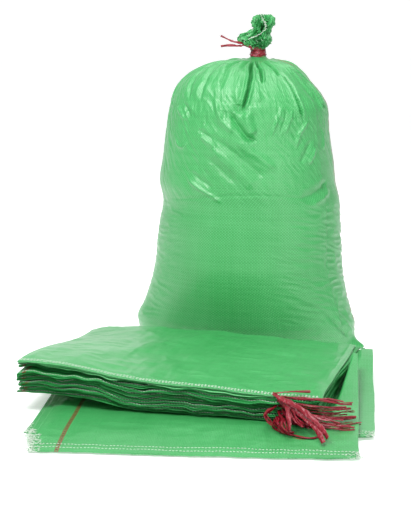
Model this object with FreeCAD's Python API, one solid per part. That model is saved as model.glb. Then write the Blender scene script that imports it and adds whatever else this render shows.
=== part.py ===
"""Sack race bags: one filled sack standing with its mouth tied, a bundle of folded sacks with their
ties, and a thinner pile of folded sacks under the bundle.

Millimetres, +Z up, origin at the centre of the filled sack's base on the ground. -Y is the side that
the bundle and the pile lie on. Every folded sack is a slab folded once at its rear, so its mouth and
its bottom seam both lie at the front.
"""
import FreeCAD, Part
import math
import os

Vector = FreeCAD.Vector

# One flat sack
SACK_WIDTH = 610.0
SACK_LENGTH = 1015.0
FOLDED_DEPTH = SACK_LENGTH / 2
HALF_WIDTH = SACK_WIDTH / 2
CLOTH = 1.2
AIR = 0.3  # clear space between pieces that move apart

# The filled sack: height, half width and half depth of each section, and how far it leans to +X
FILLED_YAW = -15.0
FILLED_SECTIONS = [
    (0.0, 258.0, 116.0, -4.0),
    (40.0, 257.0, 128.0, -12.0),
    (105.0, 239.0, 146.0, -14.0),
    (190.0, 219.0, 166.0, -11.0),
    (300.0, 209.0, 175.0, -7.0),
    (400.0, 204.0, 174.0, -10.0),
    (490.0, 195.0, 170.0, -12.0),
    (555.0, 184.0, 162.0, -11.0),
    (600.0, 165.0, 146.0, -12.0),
    (632.0, 134.0, 118.0, -8.0),
    (650.0, 92.0, 82.0, 4.0),
    (658.0, 40.0, 38.0, 13.0),
]
BASE_CLOTH = 3.0  # the bottom seam lies folded flat in the base
NECK_X = 15.0
NECK_RADIUS = 14.5
NECK_BOTTOM = 655.0
NECK_TOP = 695.0

# The bottom seam of the filled sack, folded up under its base and sewn with two rows
SEAM_HALF_LENGTH = 288.0
SEAM_HALF_WIDTH = 14.0
SEAM_THICKNESS = 1.4
SEAM_ROWS = (-4.0, 3.0)
THREAD_WIDTH = 1.2
THREAD_DEPTH = 0.6

# The tie round the neck: three turns, a knot on the left and two tails
TIE_TURNS = 3
TIE_TURN_RADIUS = 3.8
TIE_BOTTOM = 671.0
KNOT_CENTRE = Vector(-15.0, -11.5, 703.5)
KNOT_RADIUS = 5.0
TAIL_RADIUS = 1.2
NECK_TAILS = {
    "neck_tie_tail_upper": [(-19.5, -13.0, 706.5), (-31.0, -18.0, 709.5), (-45.0, -20.0, 712.0),
                            (-59.0, -19.0, 719.0), (-72.0, -21.0, 725.0)],
    "neck_tie_tail_lower": [(-20.0, -14.0, 702.5), (-31.0, -20.0, 701.5), (-45.0, -24.0, 703.5),
                            (-59.0, -25.0, 703.0), (-72.0, -28.0, 701.0)],
}

# The gathered mouth above the tie: it tilts about a ball at the top of the neck
FRILL_PIVOT = Vector(NECK_X, 0.0, 698.0)
FRILL_BALL = 9.0
FRILL_LOBES = [
    (Vector(16.0, 0.0, 717.0), 15.0),
    (Vector(-3.0, 5.0, 725.0), 18.5),
    (Vector(16.0, 0.0, 737.0), 22.0),
    (Vector(26.0, 1.0, 753.0), 22.0),
]
HEM_RING_RADIUS = 15.0
HEM_RING_THREAD = 0.6

# The lower pile: front centre, turn about Z, and the height of its top at its front and rear
PILE_FRONT = Vector(-130.0, -903.0, 0.0)
PILE_YAW = -5.0
PILE_TOP_FRONT = 10.5
PILE_TOP_REAR = 15.5
# How far each sack of the pile lies to the right and to the rear of the top one, lowest first
PILE_SHIFTS = [(-21.0, 155.0), (31.0, 130.0), (-15.0, 99.0), (-7.0, 42.0), (0.0, 0.0)]
PILE_ROWS = (19.0, 31.0)

# The bundle on it: heights of its bottom and top at front left, front right and rear left
BUNDLE_FRONT = Vector(-184.0, -682.0, 0.0)
BUNDLE_YAW = -13.0
BUNDLE_BOTTOM = (31.0, 17.5, 31.0)
BUNDLE_TOP = (102.0, 72.0, 71.0)
BUNDLE_COUNT = 10
HEM_ROW = 7.0
HINGE_INSET = 1.5
HINGE_RADIUS = 0.9

# Each sack's tie leaves its hem at this distance right of the bundle's middle, as two tails. A tail's
# points are (right of the exit, in front of the hem, height above the ground).
TIE_RADIUS = 1.0
TIE_EXITS = (230.0, 222.0, 234.0, 224.0, 230.0, 220.0, 232.0, 222.0, 228.0, 213.0)
TIE_TAILS = [
    [[(0, 0, 22.2), (14, 13, 21.5), (40, 27, 18.5), (72, 36, 16.5), (106, 36, 16), (136, 28, 17.5)],
     [(0, 0, 22.2), (-9, 13, 21.5), (-13, 32, 19.5), (-4, 52, 17), (18, 70, 15.5), (44, 90, 15),
      (66, 100, 14.5), (84, 90, 14.5), (90, 72, 15)]],
    [[(0, 0, 27.9), (12, 14, 27), (38, 22, 24), (70, 25, 21.5), (104, 19, 21), (134, 6, 21.5),
      (160, -10, 22)],
     [(0, 0, 27.9), (-2, 18, 27), (6, 44, 23.5), (24, 66, 20.5), (46, 80, 19)]],
    [[(0, 0, 33.6), (13, 12, 32.5), (38, 26, 29), (72, 36, 25), (108, 38, 23.5), (142, 30, 23.5)],
     [(0, 0, 33.6), (-7, 17, 32.5), (-8, 42, 28.5), (2, 66, 25), (20, 86, 23)]],
    [[(0, 0, 39.3), (16, 10, 38), (46, 14, 35), (82, 10, 32), (116, -3, 30), (148, -20, 29.5)],
     [(0, 0, 39.3), (3, 19, 38), (16, 44, 34), (22, 74, 30), (38, 98, 27.5)]],
    [[(0, 0, 45), (14, 11, 43.5), (42, 20, 40), (76, 22, 36), (110, 18, 34), (138, 8, 33.5)],
     [(0, 0, 45), (4, 18, 43.5), (20, 40, 39.5), (44, 58, 35.5), (66, 82, 32)]],
    [[(0, 0, 50.6), (15, 11, 49), (46, 16, 45), (82, 11, 41), (116, -6, 38.5), (146, -30, 37.5)],
     [(0, 0, 50.6), (-3, 18, 49), (-12, 40, 44.5), (-8, 66, 39.5), (10, 86, 36)]],
    [[(0, 0, 56.3), (13, 13, 54.5), (36, 28, 50), (62, 46, 45), (92, 54, 41), (120, 56, 39)],
     [(0, 0, 56.3), (6, 17, 54.5), (22, 36, 50), (34, 64, 43.5), (56, 86, 39)]],
    [[(0, 0, 62), (15, 11, 60.5), (46, 17, 57), (80, 17, 53.5), (110, 4, 51), (138, -20, 49)],
     [(0, 0, 62), (8, 16, 60.5), (30, 34, 56), (54, 56, 50), (78, 82, 43), (98, 106, 30), (108, 122, 18)]],
    [[(0, 0, 67.7), (14, 12, 69.5), (44, 19, 71.5), (78, 19, 70.5), (110, 6, 65), (136, -14, 58)],
     [(0, 0, 67.7), (8, 16, 66), (18, 38, 61), (24, 62, 54), (30, 84, 44), (34, 102, 31)]],
    [[(0, 0, 75.6), (8, 8, 77), (24, 6, 79.5), (46, -8, 79), (70, -16, 77.5)],
     [(0, 0, 75.6), (7, 15, 74.5), (28, 32, 71.5), (58, 50, 64), (86, 72, 53), (112, 96, 38), (124, 112, 25)]],
]

TANGENT_SHARE = 0.45  # share of the shorter run that each arc of a tail takes up


def ellipse_wire(half_width, half_depth, centre_x, height):
    """A closed ellipse in a level plane."""
    ellipse = Part.Ellipse(Vector(centre_x, 0, height), half_width, half_depth)
    return Part.Wire([ellipse.toShape()])


def filled_body(inset, floor):
    """The filled sack's outside, or with an inset, the space inside its cloth."""
    wires = []
    for height, half_width, half_depth, lean in FILLED_SECTIONS:
        level = max(height, floor) - inset * (height > floor)
        wires.append(ellipse_wire(half_width - inset, half_depth - inset, lean, level))
    body = Part.makeLoft(wires, True, False)
    body.rotate(Vector(), Vector(0, 0, 1), FILLED_YAW)
    return body


def neck_column(radius, bottom, top):
    """The gathered cloth inside the tie."""
    return Part.makeCylinder(radius, top - bottom, Vector(NECK_X, 0, bottom))


def seam_band():
    """The folded bottom seam: a long band with pointed ends, flush with the base."""
    shoulder = SEAM_HALF_LENGTH - 40.0
    outline = [
        (-SEAM_HALF_LENGTH, 0.0),
        (-shoulder, -SEAM_HALF_WIDTH),
        (shoulder, -SEAM_HALF_WIDTH),
        (SEAM_HALF_LENGTH, 0.0),
        (shoulder, SEAM_HALF_WIDTH),
        (-shoulder, SEAM_HALF_WIDTH),
    ]
    corners = [Vector(x, y, 0) for x, y in outline]
    face = Part.Face(Part.makePolygon(corners + corners[:1]))
    band = face.extrude(Vector(0, 0, SEAM_THICKNESS))
    band.rotate(Vector(), Vector(0, 0, 1), FILLED_YAW)
    return band


def seam_threads():
    """Two rows of stitching let into the band's upper face."""
    rows = []
    half_length = SEAM_HALF_LENGTH - 45.0
    for row in SEAM_ROWS:
        corner = Vector(-half_length, row, SEAM_THICKNESS - THREAD_DEPTH)
        thread = Part.makeBox(2 * half_length, THREAD_WIDTH, THREAD_DEPTH, corner)
        thread.rotate(Vector(), Vector(0, 0, 1), FILLED_YAW)
        rows.append(thread)
    return Part.makeCompound(rows)


def filled_sack():
    """The standing sack's cloth, contents, bottom seam and thread."""
    outside = filled_body(0.0, 0.0).fuse(neck_column(NECK_RADIUS, NECK_BOTTOM - 20.0, NECK_TOP))
    inside = filled_body(CLOTH, BASE_CLOTH)
    band = seam_band()
    threads = seam_threads()
    socket = Part.makeSphere(FRILL_BALL + AIR, FRILL_PIVOT)
    skin = outside.cut(inside).cut(band).cut(socket)
    return {
        "sack_cloth": skin.removeSplitter(),
        "sack_contents": inside,
        "bottom_seam": band.cut(threads),
        "bottom_seam_thread": threads,
    }


def neck_tie():
    """The turns of the tie: a sleeve round the neck with one round ridge for each turn."""
    rings = []
    pitch = 2 * TIE_TURN_RADIUS
    for turn in range(TIE_TURNS):
        height = TIE_BOTTOM + TIE_TURN_RADIUS + turn * pitch
        ring = Part.makeTorus(NECK_RADIUS + 0.5, TIE_TURN_RADIUS, Vector(NECK_X, 0, height))
        rings.append(ring)
    sleeve = neck_column(NECK_RADIUS + 2.0, TIE_BOTTOM + 1.0, TIE_BOTTOM + TIE_TURNS * pitch - 1.0)
    turns = sleeve.multiFuse(rings)
    return turns.cut(neck_column(NECK_RADIUS, TIE_BOTTOM - 10.0, NECK_TOP + 10.0))


def knot(turns):
    """The knot, with the short stub of tie that joins it to the turns."""
    towards_neck = Vector(NECK_X, 0, TIE_BOTTOM + 18.0) - KNOT_CENTRE
    stub = Part.makeCylinder(3.5, towards_neck.Length, KNOT_CENTRE, towards_neck)
    body = Part.makeSphere(KNOT_RADIUS, KNOT_CENTRE).fuse(stub)
    return body.cut(turns).cut(neck_column(NECK_RADIUS, TIE_BOTTOM - 10.0, NECK_TOP + 10.0))


def largest_solid(shape):
    """The biggest of the solids that a cut leaves."""
    return max(shape.Solids, key=lambda solid: solid.Volume)


def mouth_frill():
    """The crumpled mouth: overlapping lobes on a stem that ends in the ball of its pivot."""
    stem = Part.makeCone(FRILL_BALL - 1.0, 15.0, 22.0, FRILL_PIVOT)
    lobes = [Part.makeSphere(radius, centre) for centre, radius in FRILL_LOBES]
    frill = Part.makeSphere(FRILL_BALL, FRILL_PIVOT).multiFuse([stem] + lobes)
    top_centre, top_radius = FRILL_LOBES[-1]
    ring_height = math.sqrt(top_radius ** 2 - HEM_RING_RADIUS ** 2)
    thread = Part.makeTorus(HEM_RING_RADIUS, HEM_RING_THREAD, top_centre + Vector(0, 0, ring_height))
    return frill.cut(thread), thread


def tail_path(points):
    """Straight runs joined by tangent arcs, each as large as its two runs allow."""
    edges = []
    radii = []
    start = points[0]
    for before, corner, after in zip(points, points[1:], points[2:]):
        into = corner - before
        out_of = after - corner
        reach = TANGENT_SHARE * min(into.Length, out_of.Length)
        into.normalize()
        out_of.normalize()
        half_turn = into.getAngle(out_of) / 2
        radius = reach / math.tan(half_turn)
        inward = out_of - into
        inward.normalize()
        centre = corner + inward * (radius / math.cos(half_turn))
        arc_start = corner - into * reach
        arc_end = corner + out_of * reach
        edges.append(Part.LineSegment(start, arc_start).toShape())
        edges.append(Part.Arc(arc_start, centre - inward * radius, arc_end).toShape())
        radii.append(radius)
        start = arc_end
    edges.append(Part.LineSegment(start, points[-1]).toShape())
    return Part.Wire(edges), radii


def tail(name, points, radius):
    """A round tube along the path, with its smallest bend printed and its volume compared."""
    path, radii = tail_path(points)
    section = Part.Wire([Part.Circle(points[0], points[1] - points[0], radius).toShape()])
    tube = path.makePipeShell([section], True, False)
    expected = math.pi * radius ** 2 * path.Length
    print(f"{name}: length {path.Length:.1f}, smallest radius {min(radii):.1f}, "
          f"radii {[round(r, 1) for r in radii]}, volume ratio {tube.Volume / expected:.4f}")
    return tube


def plane_through(front_left, front_right, rear_left):
    """Height over a folded sack's rectangle, from the heights at three of its corners."""
    def height(x, y):
        across = (x + HALF_WIDTH) / SACK_WIDTH
        back = y / FOLDED_DEPTH
        return front_left + (front_right - front_left) * across + (rear_left - front_left) * back
    return height


def between(low, high, share, lift):
    """The plane that lies at this share of the way from low to high, lifted a little."""
    return lambda x, y: low(x, y) + (high(x, y) - low(x, y)) * share + lift


def block(left, right, front, rear, low, high):
    """A closed solid with upright sides between two planes."""
    corners = [(left, front), (right, front), (right, rear), (left, rear)]
    under = [Vector(x, y, low(x, y)) for x, y in corners]
    over = [Vector(x, y, high(x, y)) for x, y in corners]
    faces = [Part.Face(Part.makePolygon(under + under[:1])), Part.Face(Part.makePolygon(over + over[:1]))]
    for i in range(4):
        j = (i + 1) % 4
        side = [under[i], under[j], over[j], over[i], under[i]]
        faces.append(Part.Face(Part.makePolygon(side)))
    solid = Part.makeSolid(Part.makeShell(faces))
    if solid.Volume < 0:
        solid.reverse()
    return solid


def folded_sack(shift_x, shift_y, low, high, rows):
    """One folded sack with a row of stitching let into its top for each distance in rows."""
    left = shift_x - HALF_WIDTH
    right = shift_x + HALF_WIDTH
    slab = block(left, right, shift_y, shift_y + FOLDED_DEPTH, low, high)
    under_thread = between(high, high, 0.0, -THREAD_DEPTH)
    threads = []
    for row in rows:
        front = shift_y + row
        threads.append(block(left + 4.0, right - 4.0, front, front + THREAD_WIDTH, under_thread, high))
    stitching = Part.makeCompound(threads)
    return slab.cut(stitching), stitching


def set_down(shape, front_centre, yaw):
    """Turn a shape made about a stack's front centre, and move it to its place."""
    placed = shape.copy()
    placed.rotate(Vector(), Vector(0, 0, 1), yaw)
    placed.translate(front_centre)
    return placed


def lower_pile():
    """The sacks of the lower pile, lowest first."""
    nodes = {}
    ground = plane_through(0.0, 0.0, 0.0)
    top = plane_through(PILE_TOP_FRONT, PILE_TOP_FRONT, PILE_TOP_REAR)
    count = len(PILE_SHIFTS)
    for index, (shift_x, shift_y) in enumerate(PILE_SHIFTS):
        low = between(ground, top, index / count, 0.0)
        high = between(ground, top, (index + 1) / count, -AIR)
        sack, stitching = folded_sack(shift_x, shift_y, low, high, PILE_ROWS)
        nodes[f"pile_sack_{index + 1}"] = set_down(sack, PILE_FRONT, PILE_YAW)
        nodes[f"pile_seam_thread_{index + 1}"] = set_down(stitching, PILE_FRONT, PILE_YAW)
    return nodes


def bundle_shift(index):
    """How far a sack of the bundle lies from the top one, to the right and to the rear."""
    return -4.0 + 5.0 * math.sin(2.4 * index), 3.0 + 3.0 * math.sin(1.7 * index + 1.0)


def opening_sack(low, high):
    """The top sack of the bundle: its lower half, and its upper half that opens about the fold."""
    middle_low = between(low, high, 0.5, -AIR / 2)
    middle_high = between(low, high, 0.5, AIR / 2)
    middle = between(low, high, 0.5, 0.0)
    axis_y = FOLDED_DEPTH - HINGE_INSET
    lower_rear = axis_y - HINGE_RADIUS - AIR
    lower = block(-HALF_WIDTH, HALF_WIDTH, 0.0, lower_rear, low, middle_low)
    upper = block(-HALF_WIDTH, HALF_WIDTH, 0.0, axis_y, middle_high, high)
    left_end = Vector(-HALF_WIDTH + 1.0, axis_y, middle(-HALF_WIDTH + 1.0, axis_y))
    right_end = Vector(HALF_WIDTH - 1.0, axis_y, middle(HALF_WIDTH - 1.0, axis_y))
    fold = Part.makeCylinder(HINGE_RADIUS, (right_end - left_end).Length, left_end, right_end - left_end)
    under_thread = between(high, high, 0.0, -THREAD_DEPTH)
    thread = block(-HALF_WIDTH + 4.0, HALF_WIDTH - 4.0, HEM_ROW, HEM_ROW + THREAD_WIDTH, under_thread, high)
    return lower, upper.fuse(fold).removeSplitter().cut(thread), thread, left_end, right_end


def bundle():
    """The sacks of the bundle, lowest first; the top one is in two halves."""
    nodes = {}
    bottom = plane_through(*BUNDLE_BOTTOM)
    top = plane_through(*BUNDLE_TOP)
    for index in range(BUNDLE_COUNT - 1):
        low = between(bottom, top, index / BUNDLE_COUNT, 0.0)
        high = between(bottom, top, (index + 1) / BUNDLE_COUNT, -AIR)
        shift_x, shift_y = bundle_shift(index)
        sack, stitching = folded_sack(shift_x, shift_y, low, high, [HEM_ROW])
        nodes[f"bundle_sack_{index + 1:02d}"] = set_down(sack, BUNDLE_FRONT, BUNDLE_YAW)
        nodes[f"bundle_hem_thread_{index + 1:02d}"] = set_down(stitching, BUNDLE_FRONT, BUNDLE_YAW)
    low = between(bottom, top, (BUNDLE_COUNT - 1) / BUNDLE_COUNT, 0.0)
    lower, upper, thread, left_end, right_end = opening_sack(low, top)
    nodes[f"bundle_sack_{BUNDLE_COUNT}"] = set_down(lower, BUNDLE_FRONT, BUNDLE_YAW)
    nodes["top_sack_flap"] = set_down(upper, BUNDLE_FRONT, BUNDLE_YAW)
    nodes[f"bundle_hem_thread_{BUNDLE_COUNT}"] = set_down(thread, BUNDLE_FRONT, BUNDLE_YAW)
    hinge = [set_down(Part.Vertex(end), BUNDLE_FRONT, BUNDLE_YAW).Point for end in (left_end, right_end)]
    axis = (hinge[1] - hinge[0]).normalize()
    print(f"flap hinge at {tuple(round(v, 2) for v in hinge[0])}, axis {tuple(round(v, 5) for v in axis)}")
    return nodes


def bundle_ties(sacks):
    """Each folded sack's tie, as the two tails that leave its hem, cut off where they meet the sack."""
    nodes = {}
    for index, tails in enumerate(TIE_TAILS):
        is_top = index == BUNDLE_COUNT - 1
        hem_y = 0.0 if is_top else bundle_shift(index)[1]
        name = f"bundle_tie_{index + 1:02d}"
        sack = sacks["top_sack_flap" if is_top else f"bundle_sack_{index + 1:02d}"]
        tubes = []
        for label, points in zip("ab", tails):
            route = [Vector(TIE_EXITS[index] + along, hem_y - out, height) for along, out, height in points]
            tubes.append(tail(f"{name}{label}", route, TIE_RADIUS))
        placed = [set_down(tube, BUNDLE_FRONT, BUNDLE_YAW) for tube in tubes]
        nodes[name] = Part.makeCompound([largest_solid(tube.cut(sack)) for tube in placed])
    return nodes


def neck_tails():
    """The two free ends of the tie round the neck."""
    nodes = {}
    for name, points in NECK_TAILS.items():
        nodes[name] = tail(name, [Vector(*point) for point in points], TAIL_RADIUS)
    return nodes


def main():
    os.makedirs("parts", exist_ok=True)
    nodes = filled_sack()
    turns = neck_tie()
    nodes["neck_tie_turns"] = turns
    nodes["neck_tie_knot"] = largest_solid(knot(turns))
    nodes["mouth_frill"], nodes["mouth_hem_thread"] = mouth_frill()
    nodes.update(neck_tails())
    nodes.update(lower_pile())
    nodes.update(bundle())
    nodes.update(bundle_ties(nodes))
    for name, shape in nodes.items():
        if not shape.isValid():
            raise RuntimeError(f"{name} is not a valid shape")
        shape.exportStep(f"parts/{name}.step")
    print(f"{len(nodes)} nodes")


main()
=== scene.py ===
"""Sack race bags: a filled sack tied at its neck, a bundle of folded sacks with red raffia ties, and a
thin pile of folded sacks under it. Metres, +Z up, the frame of the CAD model. The bundle and the pile
are each described as a stack: a place on the ground, and a height for every layer of cloth over it.
"""
import bmesh
import bpy
import math
import numpy as np
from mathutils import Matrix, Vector


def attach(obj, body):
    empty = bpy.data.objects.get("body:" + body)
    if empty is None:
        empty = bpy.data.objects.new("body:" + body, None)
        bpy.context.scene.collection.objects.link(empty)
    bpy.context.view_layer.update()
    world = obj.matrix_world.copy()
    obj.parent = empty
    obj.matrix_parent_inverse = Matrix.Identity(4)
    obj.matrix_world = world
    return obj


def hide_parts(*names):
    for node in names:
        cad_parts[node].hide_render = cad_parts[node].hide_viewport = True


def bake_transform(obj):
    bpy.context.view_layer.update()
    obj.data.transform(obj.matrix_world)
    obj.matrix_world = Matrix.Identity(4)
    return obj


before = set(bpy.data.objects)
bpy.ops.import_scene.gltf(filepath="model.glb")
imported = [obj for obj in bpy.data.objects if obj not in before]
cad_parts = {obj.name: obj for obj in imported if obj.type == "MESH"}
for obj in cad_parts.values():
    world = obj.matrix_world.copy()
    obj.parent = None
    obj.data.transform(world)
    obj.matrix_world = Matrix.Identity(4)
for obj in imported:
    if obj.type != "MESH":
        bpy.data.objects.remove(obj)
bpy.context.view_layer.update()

# One flat sack
SACK_WIDTH = 0.610
SACK_LENGTH = 1.015
FOLDED_DEPTH = SACK_LENGTH / 2
HALF_WIDTH = SACK_WIDTH / 2
THREAD_RADIUS = 0.00085
WELD = 0.00002  # points nearer than this are one
TAPE = 0.0032  # width of one woven tape
STRIPE_WIDTH = 0.0070

# The stacks, as in the CAD model
BUNDLE_FRONT = (-0.184, -0.682)
BUNDLE_YAW = -13.0
BUNDLE_COUNT = 10
BUNDLE_TURNS = {5: -1.0, 6: 0.4, 7: -2.8, 8: -1.4}  # degrees that a sack is turned from the bundle's yaw
TOP_LAYER = 0.97  # where a sack's uppermost wall lies in its thickness, from 0 below to 1 above
PILE_FRONT = (-0.130, -0.903)
PILE_YAW = -5.0
PILE_COUNT = 5
PILE_SHIFTS = [(-0.024, 0.155), (0.031, 0.130), (-0.027, 0.092), (-0.016, 0.036), (-0.002, 0.0)]

# The filled sack
FILLED_YAW = -15.0
STRIPE_ON_FILLED = 0.024  # distance of its marker stripe round the cloth, from its right fold
NECK = Vector((0.015, 0.0, 0.698))
KNOT = Vector((-0.017, -0.0125, 0.7038))


# ---------------------------------------------------------------- numbers and noise

def cos_sin(degrees):
    turn = math.radians(degrees)
    return math.cos(turn), math.sin(turn)


def running(steps):
    """The running total of some steps, from 0."""
    return np.concatenate([[0.0], np.cumsum(steps)])


def grid_of(*values):
    """Values that broadcast against each other, as one array with a last axis for them."""
    return np.stack(np.broadcast_arrays(*values), -1)


def smoothstep(low, high, x):
    t = np.clip((x - low) / (high - low), 0.0, 1.0)
    return t * t * (3.0 - 2.0 * t)


def curve_through(x, knots):
    """A smooth curve through (x, value) knots, flat beyond them."""
    at = np.array([k[0] for k in knots], float)
    value = np.array([k[1] for k in knots], float)
    slope = np.gradient(value, at)
    x = np.clip(x, at[0], at[-1])
    i = np.clip(np.searchsorted(at, x) - 1, 0, len(at) - 2)
    span = at[i + 1] - at[i]
    t = (x - at[i]) / span
    a = (1 + 2 * t) * (1 - t) ** 2
    b = t * (1 - t) ** 2
    c = t * t * (3 - 2 * t)
    d = t * t * (t - 1)
    return a * value[i] + b * span * slope[i] + c * value[i + 1] + d * span * slope[i + 1]


def ripples(seed, shortest, longest, count=24, stretch=(1.0, 1.0)):
    """A smooth random relief of about unit height, from waves of many lengths and directions."""
    rng = np.random.default_rng(seed)
    length = np.exp(rng.uniform(math.log(shortest), math.log(longest), count))
    angle = rng.uniform(0, math.tau, count)
    phase = rng.uniform(0, math.tau, count)
    size = np.sqrt(length)
    size *= math.sqrt(2.0) / np.linalg.norm(size)
    kx = math.tau * np.cos(angle) / length / stretch[0]
    ky = math.tau * np.sin(angle) / length / stretch[1]

    def relief(x, y):
        x, y = np.broadcast_arrays(np.asarray(x, float), np.asarray(y, float))
        total = np.zeros(x.shape)
        for a, b, p, s in zip(kx, ky, phase, size):
            total += s * np.sin(a * x + b * y + p)
        return total
    return relief


def creases(seed, shortest, longest, count=14, stretch=(1.0, 1.0)):
    """Sharp crests between smooth hollows, as in crumpled cloth; about 0 on average."""
    base = ripples(seed, shortest, longest, count, stretch)
    return lambda x, y: 0.6 - np.abs(base(x, y))


# ---------------------------------------------------------------- meshes

def mesh_object(name, points, faces, uvs=None, material=None):
    """An object from an array of points, a list of faces and, for each face corner, a UV in metres."""
    mesh = bpy.data.meshes.new(name)
    mesh.from_pydata([tuple(p) for p in points], [], [tuple(f) for f in faces])
    if uvs is not None:
        layer = mesh.uv_layers.new(name="UVMap")
        layer.data.foreach_set("uv", np.asarray(uvs, np.float32).ravel())
    mesh.polygons.foreach_set("use_smooth", [True] * len(mesh.polygons))
    if material:
        mesh.materials.append(material)
    mesh.update()
    piece = bpy.data.objects.new(name, mesh)
    bpy.context.collection.objects.link(piece)
    return piece


def grid_faces(rows, columns, offset=0, wrap=False):
    """Quads over a grid of points numbered row by row, as an array of four indices each."""
    last = columns if wrap else columns - 1
    i, j = np.meshgrid(np.arange(rows - 1), np.arange(last), indexing="ij")
    k = (j + 1) % columns
    quads = np.stack([i * columns + j, i * columns + k, (i + 1) * columns + k, (i + 1) * columns + j], -1)
    return quads.reshape(-1, 4) + offset


def joined(parts):
    """One list of points, faces and UVs from several."""
    points, faces, uvs, start = [], [], [], 0
    for p, f, uv in parts:
        points.append(np.asarray(p, float))
        faces.append(np.asarray(f) + start)
        uvs.append(np.asarray(uv, float))
        start += len(p)
    return np.concatenate(points), np.concatenate(faces), np.concatenate(uvs)


def unwrapped(uvs):
    """UVs of quads round a tube: a quad that closes the tube runs on past its width, not back over it."""
    quads = uvs.reshape(-1, 4, 2)
    u = quads[:, :, 0]
    closing = (u.max(1) - u.min(1)) > SACK_WIDTH
    quads[:, :, 0] += 2 * SACK_WIDTH * (closing[:, None] & (u < SACK_WIDTH))
    return quads.reshape(-1, 2)


def settle(piece, body, node):
    """A piece moves with a body, and is shown for a node of the CAD model."""
    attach(piece, body)
    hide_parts(node)
    return piece


def piece_of(parts, name, material, body, node):
    """One piece from several small meshes."""
    return settle(mesh_object(name, *joined(parts), material), body, node)


# ---------------------------------------------------------------- materials

class Nodes:
    """Short names for building a material's node tree."""

    def __init__(self, name):
        self.material = bpy.data.materials.new(name)
        self.material.use_nodes = True
        self.tree = self.material.node_tree
        self.shader = self.tree.nodes["Principled BSDF"]
        self.place = self.add("ShaderNodeTexCoord").outputs["Object"]

    def add(self, kind, **settings):
        node = self.tree.nodes.new(kind)
        for key, value in settings.items():
            setattr(node, key, value)
        return node

    def link(self, source, target):
        self.tree.links.new(source, target)

    def put(self, socket, value):
        if isinstance(value, (int, float, tuple)):
            socket.default_value = value
        else:
            self.link(value, socket)

    def uv(self):
        return self.add("ShaderNodeUVMap", uv_map="UVMap").outputs["UV"]

    def math(self, operation, a, b=0.0):
        node = self.add("ShaderNodeMath", operation=operation)
        self.put(node.inputs[0], a)
        self.put(node.inputs[1], b)
        return node.outputs[0]

    def times(self, a, b):
        return self.math("MULTIPLY", a, b)

    def plus(self, a, b):
        return self.math("ADD", a, b)

    def mix(self, factor, a, b):
        node = self.add("ShaderNodeMix", data_type="RGBA")
        self.put(node.inputs["Factor"], factor)
        self.put(node.inputs["A"], a)
        self.put(node.inputs["B"], b)
        return node.outputs["Result"]

    def noise(self, vector, scale, detail=3.0, roughness=0.55):
        node = self.add("ShaderNodeTexNoise")
        self.link(vector, node.inputs["Vector"])
        node.inputs["Scale"].default_value = scale
        node.inputs["Detail"].default_value = detail
        node.inputs["Roughness"].default_value = roughness
        return node.outputs["Fac"]

    def ramp(self, factor, stops):
        node = self.add("ShaderNodeValToRGB")
        self.put(node.inputs["Fac"], factor)
        ramp = node.color_ramp
        while len(ramp.elements) < len(stops):
            ramp.elements.new(0.5)
        for element, (position, colour) in zip(ramp.elements, stops):
            element.position = position
            element.color = colour
        return node.outputs["Color"]

    def bump(self, height, strength, distance, below=None):
        node = self.add("ShaderNodeBump")
        node.inputs["Strength"].default_value = strength
        node.inputs["Distance"].default_value = distance
        self.put(node.inputs["Height"], height)
        if below is not None:
            self.link(below, node.inputs["Normal"])
        return node.outputs["Normal"]

    def surface(self, colour, roughness, normal=None, **constants):
        """Fills in the shader's sockets, and gives the finished material."""
        self.put(self.shader.inputs["Base Color"], colour)
        self.put(self.shader.inputs["Roughness"], roughness)
        if normal is not None:
            self.link(normal, self.shader.inputs["Normal"])
        for name, value in constants.items():
            self.shader.inputs[name.replace("_", " ")].default_value = value
        return self.material


def rgb(red, green, blue):
    """A colour from display values of 0 to 255, as linear light."""
    def linear(value):
        value /= 255.0
        return value / 12.92 if value <= 0.04045 else ((value + 0.055) / 1.055) ** 2.4
    return (linear(red), linear(green), linear(blue), 1.0)


# Weft tapes are coloured darker than warp tapes: a painted sheen, for the different shine that tapes catch
# by their direction.
WEFT_GREENS = rgb(30, 138, 64), rgb(42, 148, 74)
WARP_GREENS = rgb(60, 162, 86), rgb(74, 172, 98)
PALE_TAPE = rgb(108, 190, 128)
# The deep green of painted shade, for the gaps between tapes and the shaded bundle cloth.
PAINTED_SHADE_GREEN = rgb(8, 100, 38)
STRIPE_DARK = rgb(52, 22, 16)
STRIPE_RED = rgb(140, 34, 28)
RAFFIA_REDS = rgb(92, 2, 18), rgb(134, 8, 32), rgb(166, 30, 54)
RAFFIA_SHINE = rgb(214, 100, 120)
WHITE = (1.0, 1.0, 1.0, 1.0)
BLACK = (0.0, 0.0, 0.0, 1.0)


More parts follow.
